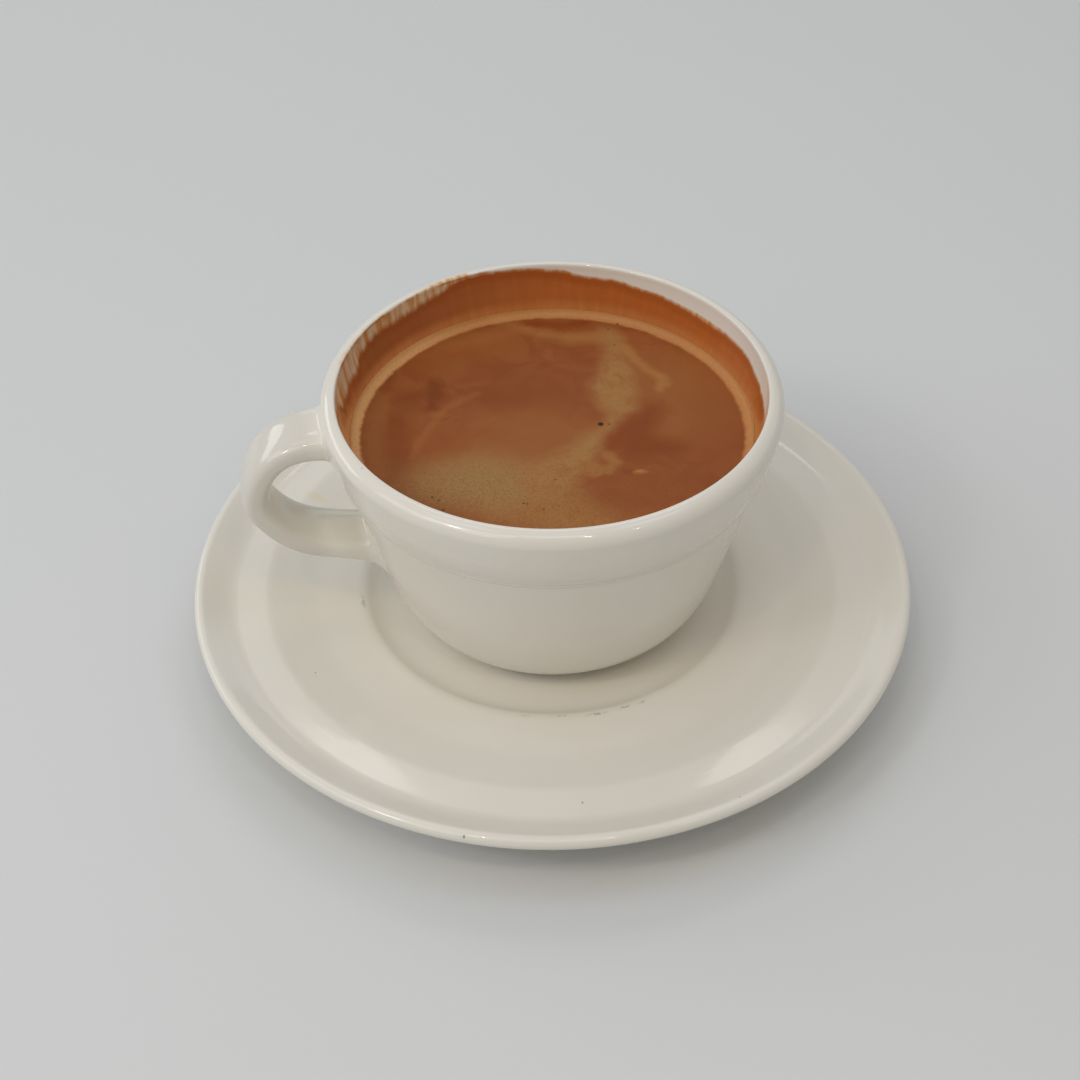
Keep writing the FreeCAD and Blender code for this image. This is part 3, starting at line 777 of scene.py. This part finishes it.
# meniscus: a paler ring against the wall, partly foam and partly painted reflection of the wall, painted brighter to
# the left as painted light
rad = m.vec("LENGTH", flat)
meniscus_sheen = m.math("ADD", rad, m.math("MULTIPLY", m.math("SUBTRACT", soft2, 0.5), 1.2))
col = m.mix(m.remap(meniscus_sheen, 40.9, 41.9, 0.0, 0.75), col, m.mix(m.remap(m.sep(flat)[0], -16.0, -38.0), MENISCUS_SHEEN,
                                                              brew(238, 184, 138)))
# pale fleck with a dark one beside it
col = paint(m, col, blob(m, p2, 16.2, -14.6, 1.2, 0.9, 0), 0.8, DARK, 0.7)
col = paint(m, col, blob(m, p2, 18.6, -14.7, 1.0, 0.6, 15), 0.6, brew(180, 132, 86), 0.8)
# grain of tiny bubbles, coarser and darker at the front
front = m.remap(m.sep(flat)[1], -4.0, -20.0, 0.0, 1.0)
col = m.mix(m.math("MULTIPLY", m.remap(grain, 0.42, 0.66), m.math("MULTIPLY_ADD", front, 0.30, 0.17)), col,
            brew(128, 74, 42))
vor = m.t.nodes.new("ShaderNodeTexVoronoi")
m.link(mm, vor.inputs["Vector"])
vor.inputs["Scale"].default_value = 1.5
vor.inputs["Randomness"].default_value = 1.0
pick = m.parts(vor.outputs["Color"])
size = m.math("MULTIPLY_ADD", pick[0], 0.13, 0.04)
dot = m.remap(m.math("SUBTRACT", vor.outputs["Distance"], size), -0.03, 0.06, 1.0, 0.0)
near = blob(m, p1, -22, -21.5, 10, 5, -38)
near2 = blob(m, p1, -4, -26, 14, 5, -6)
many = m.math("MAXIMUM", m.remap(near, -3.0, 3.0, 0.85, 0.0), m.remap(near2, -3.0, 3.5, 0.35, 0.0))
many = m.math("MAXIMUM", many, m.math("MULTIPLY", front, 0.10))
chosen = m.math("LESS_THAN", pick[1], many)
holes = m.math("MULTIPLY", dot, chosen)
col = m.mix(m.math("MULTIPLY", holes, 0.75), col, brew(84, 50, 34))
for x, y, r, k in ((10.5, 1.45, 0.62, 0.98), (12.3, 1.35, 0.24, 0.8), (15.5, 38.6, 0.34, 0.7), (13.3, 36.6, 0.26, 0.6),
                   (14.5, 30.4, 0.26, 0.5), (-6.1, -24.3, 0.24, 0.8), (-5.4, -24.5, 0.2, 0.7), (-3.0, 36.2, 0.22, 0.5),
                   (0.5, -16.9, 0.2, 0.6), (-25.0, -22.0, 0.3, 0.7), (-23.6, -23.0, 0.24, 0.7),
                   (-22.6, -26.0, 0.3, 0.6), (-2.0, -26.3, 0.2, 0.7), (5.0, -27.1, 0.2, 0.6)):
    col = paint(m, col, blob(m, flat, x, y, r, r), 0.20, brew(46, 34, 30), k)
m.link(col, m.b.inputs["Base Color"])
m.link(m.remap(soft2, 0.35, 0.65, 0.30, 0.38), m.b.inputs["Roughness"])
m.b.inputs["IOR"].default_value = 1.33
m.b.inputs["Specular IOR Level"].default_value = 0.25
hh = m.math("MULTIPLY_ADD", grain, 0.5, m.math("MULTIPLY", holes, -2.0))
m.link(m.bump(hh, 0.35, 0.00006), m.b.inputs["Normal"])

for ob, m in ((saucer, saucer_mat), (cup, cup_mat), (coffee, coffee_mat)):
    ob.data.materials.clear()
    ob.data.materials.append(m.mat)

# ------------------------------------------------------------------- riding
for ob, s in ((saucer, "saucer_glaze"), (cup, "cup_glaze"), (coffee, "coffee")):
    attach(ob, "root")
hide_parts("saucer")
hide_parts("cup")
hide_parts("coffee")

# -------------------------------------------------------------------- stage
fl = bpy.data.meshes.new("floor")
S = 3.0
fl.from_pydata([(-S, -S, 0), (S, -S, 0), (S, S, 0), (-S, S, 0)], [], [(0, 1, 2, 3)])
floor = bpy.data.objects.new("floor", fl)
bpy.context.scene.collection.objects.link(floor)
fm = Nodes("floor_paper")
fm.b.inputs["Base Color"].default_value = (0.685, 0.695, 0.70, 1)
fm.b.inputs["Roughness"].default_value = 0.55
fl.materials.append(fm.mat)

world = bpy.data.worlds.new("studio")
bpy.context.scene.world = world
world.use_nodes = True
world.node_tree.nodes["Background"].inputs[0].default_value = (1.0, 0.992, 0.955, 1)
world.node_tree.nodes["Background"].inputs[1].default_value = 0.370


def soft(name, az, el, dist, w, h, power, color=(1, 1, 1)):
    """Rectangular light in the direction az (from +Y towards +X), el."""
    a, e = math.radians(az), math.radians(el)
    d = Vector((math.sin(a) * math.cos(e), math.cos(a) * math.cos(e), math.sin(e)))
    L = bpy.data.lights.new(name, "AREA")
    L.shape = "RECTANGLE"
    L.size, L.size_y, L.energy, L.color = w, h, power, color
    ob = bpy.data.objects.new(name, L)
    bpy.context.scene.collection.objects.link(ob)
    ob.location = Vector((0, 0, 0.04)) + d * dist
    ob.rotation_mode = "QUATERNION"
    ob.rotation_quaternion = d.to_track_quat("Z", "Y")
    return ob


# broad, weak panels all round
soft("top", 0, 89, 1.4, 0.45, 0.45, 0.50, (0.30, 0.55, 1.0))
soft("top_left", -90, 68, 1.4, 0.45, 0.45, 0.86, (0.60, 0.72, 1.0))
soft("top_right", 90, 68, 1.4, 0.45, 0.45, 1.02, (0.714, 0.743, 1.0))
soft("top_front", 180, 68, 1.4, 0.45, 0.45, 1.15, (1.0, 0.984, 0.868))
soft("low_back_left", -60, 20, 1.6, 1.2, 0.4, 3.12, (0.943, 0.983, 1.0))
soft("low_back", 0, 20, 1.6, 1.2, 0.4, 0.97, (0.719, 0.87, 1.0))
soft("low_back_right", 60, 20, 1.6, 1.2, 0.4, 0.31, (0.954, 1.0, 0.85))
soft("side_left", -105, 35, 1.5, 0.7, 0.6, 2.15, (0.794, 0.861, 1.0))
soft("front_left", -134, 45, 1.5, 0.8, 0.7, 2.75, (1.0, 0.947, 0.853))
# small, closer ones that draw the highlights in the glaze
soft("spark_left", -128, 45, 1.2, 0.13, 0.13, 0.80, (1.0, 0.98, 0.95))
soft("spark_back", -1.0, 58.5, 1.4, 0.80, 0.22, 1.25, (1.0, 0.98, 0.90))
soft("warm_left", -152, 60, 1.2, 0.04, 0.04, 0.55, (1.0, 0.80, 0.50))
soft("warm_mid", 160, 57, 1.2, 0.04, 0.04, 0.42, (1.0, 0.80, 0.50))
soft("warm_right", 135, 50, 1.2, 0.04, 0.04, 0.20, (1.0, 0.80, 0.50))

# ------------------------------------------------------------------- camera
PITCH, YAW, ROLL = math.radians(42.147), math.radians(-0.487), math.radians(1.143)
cp, sp, cy, sy = math.cos(PITCH), math.sin(PITCH), math.cos(YAW), math.sin(YAW)
fwd = Vector((sy * cp, cy * cp, -sp))
right0 = Vector((cy, -sy, 0.0))
down0 = fwd.cross(right0)
cr, sr = math.cos(ROLL), math.sin(ROLL)
right = cr * right0 + sr * down0
down = -sr * right0 + cr * down0
cam_data = bpy.data.cameras.new("camera")
cam_data.sensor_width = 36.0
cam_data.lens = 1758.8 / 1080.0 * 36.0
cam_data.clip_start, cam_data.clip_end = 0.02, 20.0
cam = bpy.data.objects.new("camera", cam_data)
bpy.context.scene.collection.objects.link(cam)
rot = Matrix((right, -down, -fwd)).transposed().to_4x4()
cam.matrix_world = Matrix.Translation(Vector((0.0, -0.29722, 0.27672 + H * MM))) @ rot
bpy.context.scene.camera = cam
bpy.context.scene.view_settings.view_transform = "Standard"
